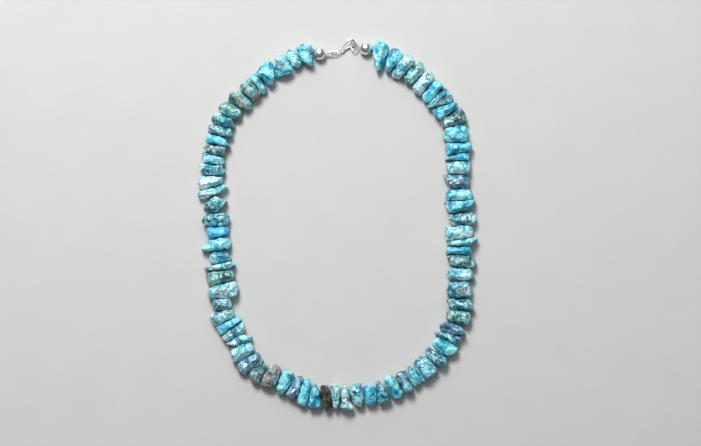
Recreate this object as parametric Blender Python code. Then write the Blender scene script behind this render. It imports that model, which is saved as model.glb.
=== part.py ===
"""A turquoise nugget necklace, fastened and lying flat as one closed loop, +Z up, in metres.

Drilled, tumbled stones sit close together on one thread. A round silver bead ends each side of the
string, and a wire hook on the left bead is closed through an oval ring on the right bead. The thread
lies about half a stone above the surface, and every stone reaches down to z = 0.
"""
import math

import bmesh
import bpy
import mathutils
import numpy as np

# the loop, measured between the thread's own extremes
LOOP_WIDTH = 0.1245
LOOP_HEIGHT = 0.1747

# stones: how wide a share of 1 is, how tall, and the slit between two neighbours
STONE_ACROSS = 0.0125
STONE_HEIGHT = 0.0082
STONE_GAP = 0.00075
STONE_EDGE = 14.0
THREAD_DIAMETER = 0.0010
THREAD_LEVEL = 0.47 * STONE_HEIGHT
STRING_PARTING = 0.0003
SURFACE_CLEARANCE = 0.0001
STONE_SIDES = 10

# silver beads and the clasp's wires
BEAD_DIAMETER = 0.0065
BEAD_SIDES = 16
BORE_CLEARANCE = 0.0003
BEAD_CLEARANCE = 0.0003
THREAD_RISE = 0.016
HOOK_WIRE = 0.0010
HOOK_LENGTH = 0.0072
HOOK_BAR_SPREAD = 0.0028
HOOK_WRAP_DIAMETER = 0.0015
COLLAR_DIAMETER = 0.0015
HOOK_TIP_DIAMETER = 0.0014
RING_WIRE = 0.00075
RING_WIDTH = 0.0040
RING_LENGTH = 0.0064
RING_LEVEL = 0.0021
WIRE_SIDES = 6
TAG_LENGTH = 0.0034
TAG_WIDTH = 0.0027
TAG_THICKNESS = 0.0005
TAG_WIRE = 0.0005
TAG_CLEARANCE = 0.0003
TAG_STEPS = 2

# the thread's way round the loop, from the left silver bead down and round to the right one,
# in millimetres on the surface: a chosen point about every stone and a half
THREAD_ROUTE = [
    (-8.9, 85.9), (-16.5, 85.2), (-26, 81), (-35.5, 75), (-48, 62.5), (-57, 52), (-61, 38.5), (-62.5, 25),
    (-61.5, 13), (-60.2, 0), (-59, -14), (-57.5, -29), (-56.8, -42), (-52, -53), (-46, -64), (-38.5, -73),
    (-26.5, -78.7), (-15.5, -84.2), (-5, -86.2), (9, -86.2), (22.5, -84), (33, -79), (43.5, -71.5),
    (52, -62), (58, -51), (61.2, -38), (61.7, -25), (61.8, -11), (61.6, 3), (60.8, 15), (60.2, 28),
    (60.1, 40), (57.8, 52), (51.5, 62.5), (40, 74), (29.5, 81.4), (20.5, 86), (14.25, 88.5),
]

# how a stone ends away from the thread: where its tip sits between the back face (-1) and the fore
# face (1), and by what share of the reach its back and fore corners fall short of the tip
STONE_ENDS = {
    "square": (0.0, 0.05, 0.05),
    "round": (0.0, 0.24, 0.24),
    "point": (0.0, 0.60, 0.60),
    "back": (-0.7, 0.08, 0.32),
    "fore": (0.7, 0.32, 0.08),
    "backtip": (-0.85, 0.05, 0.62),
    "foretip": (0.85, 0.62, 0.05),
}

# one row for each stone in the order of the string: its share of the thread, the lean of its fore
# face in degrees, its reach away from the loop and its end there, then towards the loop's inside
STONE_COLUMNS = ("thick", "lean", "outer", "outer_end", "inner", "inner_end")
LEFT_STONES = [
    (1.38, 15, 0.38, "round", 0.52, "back"),
    (1.10, 0, 0.42, "fore", 0.38, "fore"),
    (1.60, -30, 0.40, "round", 0.46, "back"),
    (1.70, -6, 0.44, "round", 0.50, "back"),
    (0.85, -8, 0.36, "round", 0.50, "round"),
    (1.30, 0, 0.44, "round", 0.50, "round"),
    (1.40, 15, 0.48, "round", 0.52, "back"),
    (1.35, 10, 0.46, "round", 0.48, "round"),
    (1.10, 10, 0.44, "round", 0.48, "fore"),
    (1.00, 6, 0.44, "square", 0.55, "fore"),
    (1.00, 4, 0.46, "back", 0.56, "foretip"),
    (0.90, -6, 0.44, "round", 0.42, "square"),
    (1.00, 0, 0.48, "back", 0.48, "round"),
    (1.10, 0, 0.52, "round", 0.48, "round"),
    (1.20, 12, 0.56, "round", 0.48, "back"),
    (0.75, 16, 0.56, "round", 0.52, "round"),
    (1.70, 2, 0.42, "point", 0.46, "point"),
    (1.30, -3, 0.52, "round", 0.52, "back"),
    (1.15, 12, 0.44, "round", 0.52, "back"),
    (1.25, 0, 0.62, "fore", 0.52, "round"),
    (1.25, 5, 0.42, "fore", 0.48, "fore"),
    (0.60, 0, 0.62, "round", 0.60, "back"),
    (1.35, 12, 0.60, "square", 0.52, "round"),
    (1.50, 2, 0.58, "round", 0.62, "round"),
    (1.05, -5, 0.40, "square", 0.36, "square"),
    (1.20, 0, 0.56, "round", 0.42, "back"),
    (0.85, 2, 0.50, "square", 0.48, "square"),
    (0.90, -3, 0.54, "back", 0.56, "back"),
    (0.90, -7, 0.46, "round", 0.54, "foretip"),
    (1.30, -6, 0.56, "fore", 0.46, "round"),
    (1.20, 8, 0.54, "round", 0.46, "square"),
    (1.20, 3, 0.56, "round", 0.42, "back"),
    (1.50, 3, 0.50, "back", 0.50, "round"),
    (1.30, -2, 0.52, "round", 0.58, "fore"),
    (1.05, 1, 0.46, "round", 0.54, "round"),
    (1.00, 0, 0.58, "round", 0.58, "round"),
    (1.05, 6, 0.48, "square", 0.52, "point"),
    (1.10, 5, 0.46, "round", 0.54, "fore"),
    (0.90, -12, 0.48, "square", 0.54, "back"),
    (1.05, 16, 0.56, "round", 0.62, "back"),
]
RIGHT_STONES = [
    (1.25, 3, 0.44, "fore", 0.54, "fore"),
    (1.30, -6, 0.42, "round", 0.44, "round"),
    (1.13, 2, 0.44, "round", 0.54, "backtip"),
    (1.25, 2, 0.44, "round", 0.58, "round"),
    (1.15, -10, 0.54, "fore", 0.46, "round"),
    (0.90, -8, 0.38, "square", 0.46, "point"),
    (1.85, -8, 0.50, "fore", 0.46, "round"),
    (1.25, -2, 0.54, "fore", 0.52, "round"),
    (1.30, 4, 0.62, "round", 0.42, "round"),
    (0.75, 15, 0.50, "square", 0.58, "point"),
    (1.05, 4, 0.58, "backtip", 0.50, "round"),
    (1.40, 6, 0.56, "round", 0.40, "round"),
    (1.12, 3, 0.58, "back", 0.50, "fore"),
    (1.66, 0, 0.48, "round", 0.56, "round"),
    (1.42, -8, 0.58, "back", 0.58, "round"),
    (1.13, -2, 0.60, "round", 0.54, "fore"),
    (0.90, 0, 0.44, "back", 0.56, "square"),
    (0.70, 7, 0.62, "foretip", 0.54, "back"),
    (1.27, 2, 0.48, "square", 0.60, "square"),
    (1.32, 4, 0.62, "round", 0.54, "fore"),
    (1.21, 0, 0.60, "foretip", 0.60, "fore"),
    (1.03, 0, 0.56, "round", 0.56, "round"),
    (1.48, -7, 0.42, "square", 0.60, "foretip"),
    (1.30, -2, 0.50, "square", 0.46, "round"),
    (0.75, 9, 0.44, "square", 0.50, "backtip"),
    (1.10, -3, 0.56, "round", 0.50, "round"),
    (1.60, -3, 0.54, "round", 0.54, "round"),
    (1.25, 6, 0.54, "square", 0.53, "round"),
    (1.08, -20, 0.52, "fore", 0.60, "round"),
    (1.15, 1, 0.46, "square", 0.58, "point"),
    (1.14, 5, 0.52, "round", 0.52, "round"),
    (1.28, 0, 0.52, "round", 0.52, "round"),
    (1.25, -8, 0.64, "foretip", 0.46, "round"),
    (1.28, -4, 0.52, "round", 0.58, "round"),
    (1.17, 13, 0.52, "round", 0.56, "point"),
    (1.62, 22, 0.52, "round", 0.60, "point"),
]
STONES = [dict(zip(STONE_COLUMNS, row)) for row in LEFT_STONES + RIGHT_STONES]

# what the photograph cannot show from above follows a rule: how tall each stone is, how far its
# faces lean back from upright and how its top slopes
HEIGHT_SPREAD = 0.10
PITCH_SPREAD = 7.0
TOP_SLOPE = 16.0
SHOULDER_ANGLE = 48.0
SHOULDER_FULLNESS = 1.03
BELLY_FULLNESS = 1.22
CREST_SHARE = 0.8
FOOT_SHARE = 0.55
FOOT_WEAR = 1.10
GOLDEN_SHARE = 0.618034

UP = np.array([0.0, 0.0, 1.0])


def spread(index, turn):
    """A value between -1 and 1 for each stone, evenly spread over the string."""
    return 2.0 * ((index * GOLDEN_SHARE + turn * 0.37) % 1.0) - 1.0


def scaled_route():
    """The chosen points, stretched to the loop's named width and height."""
    chosen = np.array(THREAD_ROUTE)
    reach = chosen.max(axis=0) - chosen.min(axis=0)
    return chosen * (np.array([LOOP_WIDTH, LOOP_HEIGHT]) / reach)


def smooth_curve(knots, steps):
    """Points on a Catmull-Rom curve through the knots, with steps points to each span."""
    knots = np.asarray(knots, dtype=float)
    ends = np.vstack([2 * knots[0] - knots[1], knots, 2 * knots[-1] - knots[-2]])
    points = []
    for a, b, c, d in zip(ends, ends[1:], ends[2:], ends[3:]):
        for step in range(steps):
            f = step / steps
            points.append(0.5 * (2 * b + (c - a) * f + (2 * a - 5 * b + 4 * c - d) * f ** 2
                                 + (3 * b - a - 3 * c + d) * f ** 3))
    points.append(knots[-1])
    return np.array(points)


ROUTE_POINTS = smooth_curve(scaled_route(), 24)
ROUTE_STEPS = np.linalg.norm(np.diff(ROUTE_POINTS, axis=0), axis=1)
ROUTE_LENGTHS = np.concatenate([[0.0], np.cumsum(ROUTE_STEPS)])
ROUTE_LENGTH = ROUTE_LENGTHS[-1]
TANGENT_STEP = 0.0006


def thread_level(distance):
    """The thread leaves each silver bead at the bead's centre and rises to the stones' level."""
    share = min(distance, ROUTE_LENGTH - distance, THREAD_RISE) / THREAD_RISE
    share = max(share, 0.0)
    ease = share * share * (3 - 2 * share)
    return BEAD_DIAMETER / 2 + ease * (THREAD_LEVEL - BEAD_DIAMETER / 2)


def on_route(distance):
    """The thread's place, its direction and the way out of the loop, at a distance along it."""
    def flat(at):
        return np.array([np.interp(at, ROUTE_LENGTHS, ROUTE_POINTS[:, k]) for k in range(2)])
    along = flat(distance + TANGENT_STEP) - flat(distance - TANGENT_STEP)
    along = along / np.linalg.norm(along)
    place = np.append(flat(distance), thread_level(distance))
    return place, np.array([along[0], along[1], 0.0]), np.array([along[1], -along[0], 0.0])


def face_lean(number):
    """The lean of the plane before a stone; the first stone's back face stands square to the thread."""
    return math.radians(STONES[number - 1]["lean"]) if number > 0 else 0.0


def divider_distances():
    """Where the planes between the stones cut the thread: the shares fill the string exactly."""
    clear = BEAD_DIAMETER / 2 + BEAD_CLEARANCE
    start = clear / math.cos(face_lean(0)) - STONE_GAP / 2
    end = ROUTE_LENGTH - clear / math.cos(face_lean(len(STONES))) + STONE_GAP / 2
    shares = np.cumsum([stone["thick"] for stone in STONES])
    return start + (end - start) * np.concatenate([[0.0], shares / shares[-1]])


DIVIDERS = divider_distances()


def divider_plane(number):
    """A plane between two stones: a point on the thread, its normal and its two own directions."""
    place, along, outward = on_route(DIVIDERS[number])
    lean = face_lean(number)
    across = outward * math.cos(lean) + along * math.sin(lean)
    upright = along * math.cos(lean) - outward * math.sin(lean)
    pitch = math.radians(PITCH_SPREAD) * spread(number, 1) if 0 < number < len(STONES) else 0.0
    normal = upright * math.cos(pitch) - UP * math.sin(pitch)
    rise = UP * math.cos(pitch) + upright * math.sin(pitch)
    return place, normal, across, rise


def end_planes(reach, end, side, back, fore, along, outward):
    """Two planes that meet at a stone's tip, and the flat outline's corners beside them."""
    tip_share, back_cut, fore_cut = STONE_ENDS[end]

    def face_at(face, across):
        normal, depth = face
        return (depth - across * (outward @ normal)) / (along @ normal)

    across = side * reach
    back_edge = face_at(back, across)
    fore_edge = face_at(fore, across)
    tip = (back_edge + fore_edge) / 2 + tip_share * (fore_edge - back_edge) / 2
    planes = []
    corners = [(tip, across)]
    for cut, face in ((back_cut, back), (fore_cut, fore)):
        corner_across = across * (1 - cut)
        corner = face_at(face, corner_across)
        corners.append((corner, corner_across))
        run = np.array([corner - tip, corner_across - across])
        facing = np.array([-run[1], run[0]])
        if facing[1] * side < 0:
            facing = -facing
        facing = facing / np.linalg.norm(facing)
        planes.append((along * facing[0] + outward * facing[1], tip * facing[0] + across * facing[1]))
    return planes, (corners[1], corners[0], corners[2])


def stone_form(index):
    """A stone's centre on the thread, its three directions, its planes and its flat corners."""
    stone = STONES[index]
    centre, along, outward = on_route((DIVIDERS[index] + DIVIDERS[index + 1]) / 2)
    back_place, back_normal = divider_plane(index)[:2]
    fore_place, fore_normal = divider_plane(index + 1)[:2]
    back = (-back_normal, (centre - back_place) @ back_normal - STONE_GAP / 2)
    fore = (fore_normal, (fore_place - centre) @ fore_normal - STONE_GAP / 2)
    outer = stone["outer"] * STONE_ACROSS
    inner = stone["inner"] * STONE_ACROSS
    outer_planes, outer_corners = end_planes(outer, stone["outer_end"], 1, back, fore, along, outward)
    inner_planes, inner_corners = end_planes(inner, stone["inner_end"], -1, back, fore, along, outward)
    planes = [back, fore] + outer_planes + inner_planes

    height = STONE_HEIGHT * (1 + HEIGHT_SPREAD * spread(index, 2))
    top = height - centre[2]
    half_thick = (back[1] + fore[1]) / 2
    slope = math.radians(TOP_SLOPE)
    roof = (UP + outward * math.tan(slope * spread(index, 3)) + along * math.tan(slope * spread(index, 4)))
    planes.append((roof / np.linalg.norm(roof), top))
    planes.append((-UP, centre[2] * FOOT_WEAR))
    sideways = math.sin(math.radians(SHOULDER_ANGLE))
    upwards = math.cos(math.radians(SHOULDER_ANGLE))
    for way, reach in ((outward, outer), (-outward, inner), (along, half_thick), (-along, half_thick)):
        shoulder = math.hypot(reach * sideways, top * upwards) * SHOULDER_FULLNESS
        belly = math.hypot(reach * sideways, centre[2] * upwards) * BELLY_FULLNESS
        planes.append((way * sideways + UP * upwards, shoulder))
        planes.append((way * sideways - UP * upwards, belly))
    return centre, (along, outward), planes, (outer_corners, inner_corners), (top, half_thick)


def reach_towards(direction, planes, edge):
    """How far a stone reaches in a direction: its planes' nearest, with the corners worn round."""
    worn = sum(max(0.0, direction @ normal / depth) ** edge for normal, depth in planes)
    return worn ** (-1.0 / edge)


def stone_rings(index):
    """Five rings of points round the thread: on the back face, its rim, the waist, the fore rim, the fore face."""
    centre, (along, outward), planes, flat_corners, (top, half_thick) = stone_form(index)

    def polar(corners):
        back_corner, tip, fore_corner = corners
        spots = ((back_corner[0], back_corner[1] / 2), back_corner, tip, fore_corner,
                 (fore_corner[0], fore_corner[1] / 2))
        return [math.atan2(abs(across), -forward) for forward, across in spots]

    outer_angles = polar(flat_corners[0])
    inner_angles = polar(flat_corners[1])
    crest = (-half_thick, top * CREST_SHARE), (0.0, top), (half_thick, top * CREST_SHARE)
    foot = (-half_thick * FOOT_SHARE, centre[2]), (0.0, centre[2]), (half_thick * FOOT_SHARE, centre[2])
    rings = []
    for outer_angle, inner_angle, crest_angle, foot_angle in zip(outer_angles, inner_angles, polar(crest),
                                                                 polar(foot)):
        ring = []
        for side in range(STONE_SIDES):
            turn = 2 * math.pi * side / STONE_SIDES
            flat_angle = outer_angle if math.cos(turn) > 0 else inner_angle
            upright_angle = crest_angle if math.sin(turn) > 0 else foot_angle
            angle = flat_angle * math.cos(turn) ** 2 + upright_angle * math.sin(turn) ** 2
            radial = outward * math.cos(turn) + UP * math.sin(turn)
            direction = -along * math.cos(angle) + radial * math.sin(angle)
            point = centre + direction * reach_towards(direction, planes, STONE_EDGE)
            point[2] = max(point[2], 0.0)
            ring.append(point)
        rings.append(ring)
    return rings


def thread_ring(place, across, rise, diameter):
    """A ring of points at the thread's own size."""
    turns = [2 * math.pi * side / STONE_SIDES for side in range(STONE_SIDES)]
    return [place + (across * math.cos(turn) + rise * math.sin(turn)) * diameter / 2 for turn in turns]


def divider_ring(number, shift):
    """The thread's ring a little before or after the plane between two stones."""
    place, normal, across, rise = divider_plane(number)
    return thread_ring(place + normal * shift, across, rise, THREAD_DIAMETER)


def string_rings(first, last, start_ring, end_ring):
    """All rings of one side of the string, from one thread end over every stone to the other."""
    rings = list(start_ring)
    for index in range(first, last):
        rings.append(divider_ring(index, STONE_GAP / 2))
        rings.extend(stone_rings(index))
        rings.append(divider_ring(index + 1, -STONE_GAP / 2))
    rings.extend(end_ring)
    return rings


def end_ring_in_bead(distance):
    """The thread's cut end, inside a silver bead's bore."""
    place, along, outward = on_route(distance)
    return [thread_ring(place, outward, UP, THREAD_DIAMETER)]


def material(name, colour, roughness, metallic):
    """A plain Principled material."""
    made = bpy.data.materials.new(name)
    made.use_nodes = True
    shader = made.node_tree.nodes["Principled BSDF"]
    shader.inputs["Base Color"].default_value = (*colour, 1.0)
    shader.inputs["Roughness"].default_value = roughness
    shader.inputs["Metallic"].default_value = metallic
    return made


def add_object(name, mesh, finish):
    """Puts a mesh in the scene under its own name, shaded smooth between its sharp edges."""
    mesh.materials.append(finish)
    mesh.shade_smooth()
    mesh.set_sharp_from_angle(angle=math.radians(40))
    made = bpy.data.objects.new(name, mesh)
    bpy.context.scene.collection.objects.link(made)
    return made


def add_helper(name, mesh):
    """A shape that another object's Boolean uses, and that isn't an object of its own."""
    helper = add_object(name, mesh, SILVER)
    helper.hide_render = True
    helper.display_type = "WIRE"
    return helper


def fuse(made, helper):
    """Joins a helper's shape to an object."""
    joint = made.modifiers.new(helper.name, "BOOLEAN")
    joint.operation = "UNION"
    joint.object = helper


def turn_faces_out(mesh):
    """Makes every face of a closed mesh point outwards, in triangles."""
    form = bmesh.new()
    form.from_mesh(mesh)
    bmesh.ops.triangulate(form, faces=form.faces)
    bmesh.ops.recalc_face_normals(form, faces=form.faces)
    form.to_mesh(mesh)
    form.free()


def skin_rings(name, rings, closed=False):
    """A closed skin over rings of equal size, capped at both ends or joined to itself."""
    sides = len(rings[0])
    vertices = [tuple(point) for ring in rings for point in ring]
    spans = len(rings) if closed else len(rings) - 1
    faces = []
    for span in range(spans):
        low = span * sides
        high = ((span + 1) % len(rings)) * sides
        for side in range(sides):
            after = (side + 1) % sides
            faces.append((low + side, low + after, high + after, high + side))
    if not closed:
        faces.append(tuple(reversed(range(sides))))
        faces.append(tuple(range((len(rings) - 1) * sides, len(rings) * sides)))
    mesh = bpy.data.meshes.new(name)
    mesh.from_pydata(vertices, [], faces)
    turn_faces_out(mesh)
    return mesh


def wire_rings(points, diameters, sides, closed=False):
    """Rings along a bent wire, carried round each bend without twisting."""
    points = np.asarray(points)
    ahead = np.roll(points, -1, axis=0) - points if closed else np.gradient(points, axis=0)
    behind = points - np.roll(points, 1, axis=0) if closed else ahead
    ways = ahead + behind
    ways = ways / np.linalg.norm(ways, axis=1)[:, None]
    side_way = np.cross(ways[0], UP)
    if np.linalg.norm(side_way) < 0.1:
        side_way = np.cross(ways[0], np.array([0.0, 1.0, 0.0]))
    rings = []
    for point, way, diameter in zip(points, ways, diameters):
        side_way = side_way - way * (side_way @ way)
        side_way = side_way / np.linalg.norm(side_way)
        third = np.cross(way, side_way)
        turns = [2 * math.pi * side / sides for side in range(sides)]
        rings.append([point + (side_way * math.cos(turn) + third * math.sin(turn)) * diameter / 2
                      for turn in turns])
    return rings


for old in list(bpy.data.objects):
    bpy.data.objects.remove(old, do_unlink=True)

TURQUOISE = material("turquoise", (0.13, 0.52, 0.61), 0.32, 0.0)
SILVER = material("silver", (0.80, 0.79, 0.77), 0.22, 1.0)


# The stones of each side are one body with the thread between them
THREAD_IN_BEAD = BEAD_DIAMETER * 0.25
middle = len(LEFT_STONES)
left_rings = string_rings(
    0, middle,
    end_ring_in_bead(THREAD_IN_BEAD),
    [divider_ring(middle, -STRING_PARTING / 2)])
right_rings = string_rings(
    middle, len(STONES),
    [divider_ring(middle, STRING_PARTING / 2)],
    end_ring_in_bead(ROUTE_LENGTH - THREAD_IN_BEAD))
add_object("nugget_string_left", skin_rings("nugget_string_left", left_rings), TURQUOISE)
add_object("nugget_string_right", skin_rings("nugget_string_right", right_rings), TURQUOISE)


# The silver beads are hollow-formed spheres, drilled right through for the thread and the clasp's wire
BORE_DIAMETER = max(THREAD_DIAMETER, HOOK_WIRE) + 2 * BORE_CLEARANCE
BEAD_STATIONS = 7
BORE_RING_SHARE = 0.3


def silver_bead(name, centre, axis):
    """A turned ball with a bore along its axis."""
    across = np.cross(axis, UP)
    rise = np.cross(across, axis)
    radius = BEAD_DIAMETER / 2
    bore = BORE_DIAMETER / 2
    mouth = math.asin(bore / radius)
    rings = []
    for station in range(BEAD_STATIONS + 1):
        angle = mouth + (math.pi - 2 * mouth) * station / BEAD_STATIONS
        rings.append((-radius * math.cos(angle), radius * math.sin(angle)))
    rings.append((radius * BORE_RING_SHARE, bore))
    rings.append((-radius * BORE_RING_SHARE, bore))
    turned = []
    for forward, width in rings:
        turns = [2 * math.pi * side / BEAD_SIDES for side in range(BEAD_SIDES)]
        turned.append([centre + axis * forward + (across * math.cos(turn) + rise * math.sin(turn)) * width
                       for turn in turns])
    return add_object(name, skin_rings(name, turned, closed=True), SILVER)


left_bead, left_along, _ = on_route(0.0)
right_bead, right_along, _ = on_route(ROUTE_LENGTH)
silver_bead("silver_bead_left", left_bead, left_along)
silver_bead("silver_bead_right", right_bead, right_along)


# The ring is an oval of wire on a short stem that ends in the right bead's bore
left_outlet = left_bead - left_along * BEAD_DIAMETER / 2
right_outlet = right_bead + right_along * BEAD_DIAMETER / 2
STEM_WIRE = 0.0008
STEM_SIDES = 8
RING_STEM = 0.0013
RING_STEM_IN_BEAD = BEAD_DIAMETER * 0.2
RING_STATIONS = 20
ring_half_width = (RING_WIDTH - RING_WIRE) / 2
ring_half_length = (RING_LENGTH - RING_WIRE) / 2
ring_right = right_outlet + right_along * RING_STEM
ring_tilt = math.asin((ring_right[2] - RING_LEVEL) / (2 * ring_half_width))
ring_across = np.array([math.cos(ring_tilt), 0.0, math.sin(ring_tilt)])
ring_centre = ring_right - ring_across * ring_half_width
ring_turns = [2 * math.pi * station / RING_STATIONS for station in range(RING_STATIONS)]
ring_path = [ring_centre + ring_across * ring_half_width * math.cos(turn)
             + np.array([0.0, 1.0, 0.0]) * ring_half_length * math.sin(turn) for turn in ring_turns]
ring_mesh = skin_rings("clasp_ring", wire_rings(ring_path, [RING_WIRE] * RING_STATIONS, WIRE_SIDES, closed=True),
                       closed=True)
clasp_ring = add_object("clasp_ring", ring_mesh, SILVER)
stem_path = [ring_right, right_outlet - right_along * RING_STEM_IN_BEAD]
stem_mesh = skin_rings("ring_stem", wire_rings(stem_path, [STEM_WIRE] * 2, STEM_SIDES))
fuse(clasp_ring, add_helper("ring_stem", stem_mesh))


# The hook is one wire: out of the left bead through a collar, up over the ring, down through it
# and back under it to a rounded tip, with a thicker wrapped stretch just before the tip
HOOK_LOW = HOOK_WRAP_DIAMETER / 2 + SURFACE_CLEARANCE
HOOK_HIGH = HOOK_LOW + HOOK_BAR_SPREAD
# places along the hook as shares of its length from the ring's middle (x, y) and of its rise (z)
HOOK_BENDS = [
    (-0.99, -0.32, 0.84), (-0.80, -0.12, 0.88), (-0.55, 0.17, 0.96), (-0.33, 0.36, 1.00),
    (-0.11, 0.385, 1.02), (-0.01, 0.28, 0.90), (0.01, 0.13, 0.56), (-0.05, 0.00, 0.22),
    (-0.19, -0.10, 0.04), (-0.38, -0.16, 0.00), (-0.60, -0.26, 0.00), (-0.77, -0.42, 0.02),
    (-0.85, -0.53, 0.03),
]
# the straight stretch between the collar and the hook, as shares of the way across it
SHANK_SHARES = [(0.34, 0.36, 0.15), (0.80, 0.50, 0.75)]
HOOK_STEPS = 3
COLLAR_START = 0.0004
COLLAR_LENGTH = 0.0013
COLLAR_ROUNDING = 0.0001
SHANK_IN_BEAD = BEAD_DIAMETER * 0.2


def hook_point(x, y, z):
    """A place on the hook, from shares of its length and of its rise."""
    return np.array([ring_centre[0] + x * HOOK_LENGTH, ring_centre[1] + y * HOOK_LENGTH,
                     HOOK_LOW + z * (HOOK_HIGH - HOOK_LOW)])


bends = [hook_point(*bend) for bend in HOOK_BENDS]
collar_far = left_outlet - left_along * (COLLAR_START + COLLAR_LENGTH)
shank_gap = bends[0] - collar_far
shank_knots = [collar_far] + [collar_far + shank_gap * np.array(share) for share in SHANK_SHARES] + bends
hook_path = list(smooth_curve(shank_knots, HOOK_STEPS))
count = len(hook_path)
wrap_first = count - 4 * HOOK_STEPS - 1
wrap_last = count - HOOK_STEPS - 1
hook_widths = [HOOK_WRAP_DIAMETER if wrap_first <= station <= wrap_last else HOOK_WIRE
               for station in range(count)]
hook_widths[-1] = HOOK_TIP_DIAMETER
hook_widths[-2] = HOOK_TIP_DIAMETER
collar_path = [left_outlet + left_along * SHANK_IN_BEAD]
collar_widths = [HOOK_WIRE]
for distance, width in ((COLLAR_START, HOOK_WIRE), (COLLAR_START + COLLAR_ROUNDING, COLLAR_DIAMETER),
                        (COLLAR_START + COLLAR_LENGTH - COLLAR_ROUNDING, COLLAR_DIAMETER)):
    collar_path.append(left_outlet - left_along * distance)
    collar_widths.append(width)
hook_rings = wire_rings(collar_path + hook_path, collar_widths + hook_widths, WIRE_SIDES)
add_object("clasp_hook", skin_rings("clasp_hook", hook_rings), SILVER)


# A small plain tag hangs from its own round eye about the hook's shank, a few steps past the collar
TAG_STATIONS = 14
tag_anchor = hook_path[TAG_STEPS]
tag_way = np.array([1.0, 0.0, 0.0])
tag_eye_radius = HOOK_WIRE / 2 + TAG_CLEARANCE + TAG_WIRE / 2
tag_drop = tag_anchor[2] - SURFACE_CLEARANCE - TAG_THICKNESS / 2
tag_slope = math.asin(tag_drop / (tag_eye_radius + TAG_WIDTH))
tag_down = np.cross(tag_way, UP) * math.cos(tag_slope) - UP * math.sin(tag_slope)
tag_normal = np.cross(tag_way, tag_down)
eye_turns = [2 * math.pi * station / TAG_STATIONS for station in range(TAG_STATIONS)]
eye_path = [tag_anchor + (tag_down * math.cos(turn) + tag_normal * math.sin(turn)) * tag_eye_radius
            for turn in eye_turns]
eye_mesh = skin_rings("tag_eye", wire_rings(eye_path, [TAG_WIRE] * TAG_STATIONS, WIRE_SIDES, closed=True),
                      closed=True)
tag_eye = add_helper("tag_eye", eye_mesh)


def tag_corner(along, fall, depth):
    """A corner of the plate: along the shank, down its slope and through its thickness."""
    return tuple(tag_anchor + tag_way * along + tag_down * (tag_eye_radius + fall) + tag_normal * depth)


plate = bpy.data.meshes.new("clasp_tag")
plate_ends = (-TAG_WIRE / 2, TAG_LENGTH - TAG_WIRE / 2)
plate_corners = [tag_corner(along, fall, depth) for depth in (-TAG_THICKNESS / 2, TAG_THICKNESS / 2)
                 for along, fall in zip(plate_ends + plate_ends[::-1], (0.0, 0.0, TAG_WIDTH, TAG_WIDTH))]
plate_sides = [(a, (a + 1) % 4, (a + 1) % 4 + 4, a + 4) for a in range(4)]
plate.from_pydata(plate_corners, [], [(0, 1, 2, 3), (4, 5, 6, 7)] + plate_sides)
turn_faces_out(plate)
clasp_tag = add_object("clasp_tag", plate, SILVER)
fuse(clasp_tag, tag_eye)


# The origin lies on the surface below the middle of the whole necklace
bpy.context.view_layer.update()
model = [made for made in bpy.data.objects if not made.hide_render]
corners = np.array([made.matrix_world @ mathutils.Vector(corner) for made in model for corner in made.bound_box])
middle_of_box = (corners.min(axis=0) + corners.max(axis=0)) / 2
for made in bpy.data.objects:
    made.location = (-middle_of_box[0], -middle_of_box[1], 0.0)
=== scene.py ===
"""A turquoise nugget necklace with a silver hook clasp, lying fastened on a pale surface.

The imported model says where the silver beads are. The stones, the thread and the silver are made here,
at the sizes that the model has. Lengths are in metres.
"""
import math

import bmesh
import bpy
import numpy as np
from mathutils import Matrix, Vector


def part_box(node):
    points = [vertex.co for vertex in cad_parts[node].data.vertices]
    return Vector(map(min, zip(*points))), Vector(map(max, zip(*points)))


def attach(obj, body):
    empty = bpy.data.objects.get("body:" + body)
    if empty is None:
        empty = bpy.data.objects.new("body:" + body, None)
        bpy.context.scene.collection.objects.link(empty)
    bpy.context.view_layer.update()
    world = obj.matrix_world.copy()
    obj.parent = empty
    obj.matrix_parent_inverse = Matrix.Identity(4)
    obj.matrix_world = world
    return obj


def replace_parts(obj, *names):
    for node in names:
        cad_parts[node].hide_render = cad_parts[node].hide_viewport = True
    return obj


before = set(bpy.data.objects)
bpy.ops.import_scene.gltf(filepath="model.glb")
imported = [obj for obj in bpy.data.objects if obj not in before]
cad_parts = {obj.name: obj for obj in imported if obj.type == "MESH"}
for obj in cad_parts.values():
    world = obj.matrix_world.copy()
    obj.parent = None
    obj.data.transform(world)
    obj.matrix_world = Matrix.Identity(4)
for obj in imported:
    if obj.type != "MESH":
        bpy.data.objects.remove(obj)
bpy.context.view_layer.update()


# Stones
# Drilled turquoise nuggets, broken from rough stone and tumbled until their edges are round, with pale
# clouds, brown and grey matrix and dark flecks. They are strung so tight that neighbours nest like
# leaning dominoes, with one slit between two of them, and each lies on its worn foot.
STONE_ACROSS = 0.0125
STONE_HEIGHT = 0.0082
STONE_GAP = 0.00075
BEAD_DIAMETER = 0.0065
BEAD_CLEARANCE = 0.0003
# the thread's way round the loop, from the left silver bead down and round the front to the right one:
# chosen points in millimetres, which are scaled to the loop's size and start at the model's left bead
LOOP_WIDTH = 0.1245
LOOP_HEIGHT = 0.1747
THREAD_ROUTE = [
    (-8.9, 85.9), (-16.5, 85.2), (-26, 81), (-35.5, 75), (-48, 62.5), (-57, 52), (-61, 38.5), (-62.5, 25),
    (-61.5, 13), (-60.2, 0), (-59, -14), (-57.5, -29), (-56.8, -42), (-52, -53), (-46, -64), (-38.5, -73),
    (-26.5, -78.7), (-15.5, -84.2), (-5, -86.2), (9, -86.2), (22.5, -84), (33, -79), (43.5, -71.5),
    (52, -62), (58, -51), (61.2, -38), (61.7, -25), (61.8, -11), (61.6, 3), (60.8, 15), (60.2, 28),
    (60.1, 40), (57.8, 52), (51.5, 62.5), (40, 74), (29.5, 81.4), (20.5, 86), (14.25, 88.5),
]
ROUTE_STEPS = 24
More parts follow.
